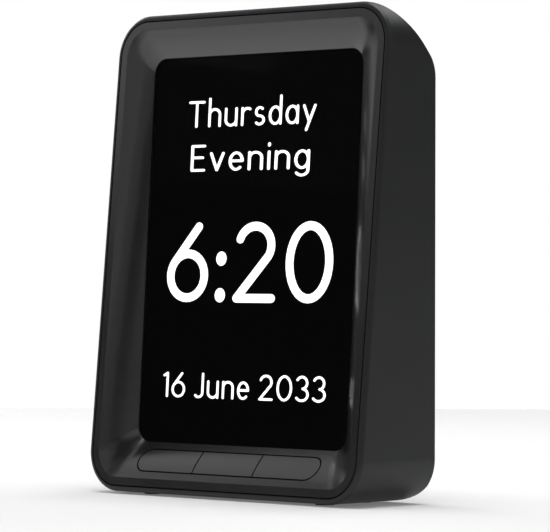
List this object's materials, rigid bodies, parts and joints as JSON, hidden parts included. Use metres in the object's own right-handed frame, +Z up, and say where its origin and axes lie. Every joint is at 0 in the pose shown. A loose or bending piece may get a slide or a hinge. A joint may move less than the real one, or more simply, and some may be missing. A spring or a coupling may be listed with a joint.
{
  "type": "dementia day clock",
  "caption": "Free-standing day clock: wrap-around housing with a leaning front, deep sloping frame round a portrait display, and push keys in one pill-shaped slot below it.",
  "frame": {"origin": "centre of the box round the clock, at the bottom of its feet, on the table", "axes": "+X to the right as seen from the front, +Y from the front towards the back, +Z up"},
  "size_m": [0.1586, 0.0464, 0.2048],
  "materials": {
    "black_housing_plastic": "fine matt grain",
    "black_frame_plastic": "satin",
    "display_glass": "polished",
    "black_key_plastic": "satin",
    "switch_plunger": "plain",
    "foot_rubber": "matt",
    "black_tape": "matt",
    "black_foam": "matt foam",
    "panel_glass": "polished",
    "light_sheet": "satin",
    "zinc_sheet": "zinc plated",
    "screw_steel": "zinc plated",
    "black_screw": "black oxide",
    "green_board": "solder resist",
    "chip_black": "moulded",
    "ferrite": "ferrite",
    "can_aluminium": "satin",
    "socket_plastic": "moulded",
    "holder_plastic": "moulded",
    "cell_steel": "bright",
    "cable_film": "film",
    "socket_cream": "moulded",
    "speaker_metal": "plain",
    "wire_sleeve": "sleeve",
    "switch_body": "moulded"
  },
  "bodies": {
    "clock_body": {"housing_shell": "black_housing_plastic", "front_bezel": "black_frame_plastic", "display_lens": "display_glass", "rubber_feet": "foot_rubber", "lens_tape": "black_tape", "display_gasket": "black_foam", "lcd_panel": "panel_glass", "backlight_unit": "light_sheet", "display_bracket": "zinc_sheet", "bracket_screws": "screw_steel", "main_board": "green_board", "board_screws": "screw_steel", "processor_chip": "chip_black", "memory_chip": "chip_black", "power_inductor": "ferrite", "smoothing_capacitors": "can_aluminium", "dc_jack": "socket_plastic", "coin_cell_holder": "holder_plastic", "coin_cell": "cell_steel", "display_ribbon": "cable_film", "key_ribbon": "cable_film", "ribbon_sockets": "socket_cream", "loudspeaker": "speaker_metal", "speaker_gasket": "black_foam", "speaker_screws": "screw_steel", "speaker_wires": "wire_sleeve", "speaker_plug": "socket_cream", "key_board": "green_board", "key_board_screws": "screw_steel", "key_switches": "switch_body", "housing_screws": "black_screw"},
    "left_key_unit": {"left_key": "black_key_plastic", "left_plunger": "switch_plunger"},
    "middle_key_unit": {"middle_key": "black_key_plastic", "middle_plunger": "switch_plunger"},
    "right_key_unit": {"right_key": "black_key_plastic", "right_plunger": "switch_plunger"}
  },
  "joints": [
    {"name": "left_key_press", "type": "slide", "parent": "clock_body", "child": "left_key_unit", "axis": [0, 0.7606, -0.6492], "range_m": [0, 0.0005], "stiffness_N_per_m": 3000},
    {"name": "middle_key_press", "type": "slide", "parent": "clock_body", "child": "middle_key_unit", "axis": [0, 0.7606, -0.6492], "range_m": [0, 0.0005], "stiffness_N_per_m": 3000},
    {"name": "right_key_press", "type": "slide", "parent": "clock_body", "child": "right_key_unit", "axis": [0, 0.7606, -0.6492], "range_m": [0, 0.0005], "stiffness_N_per_m": 3000}
  ]
}
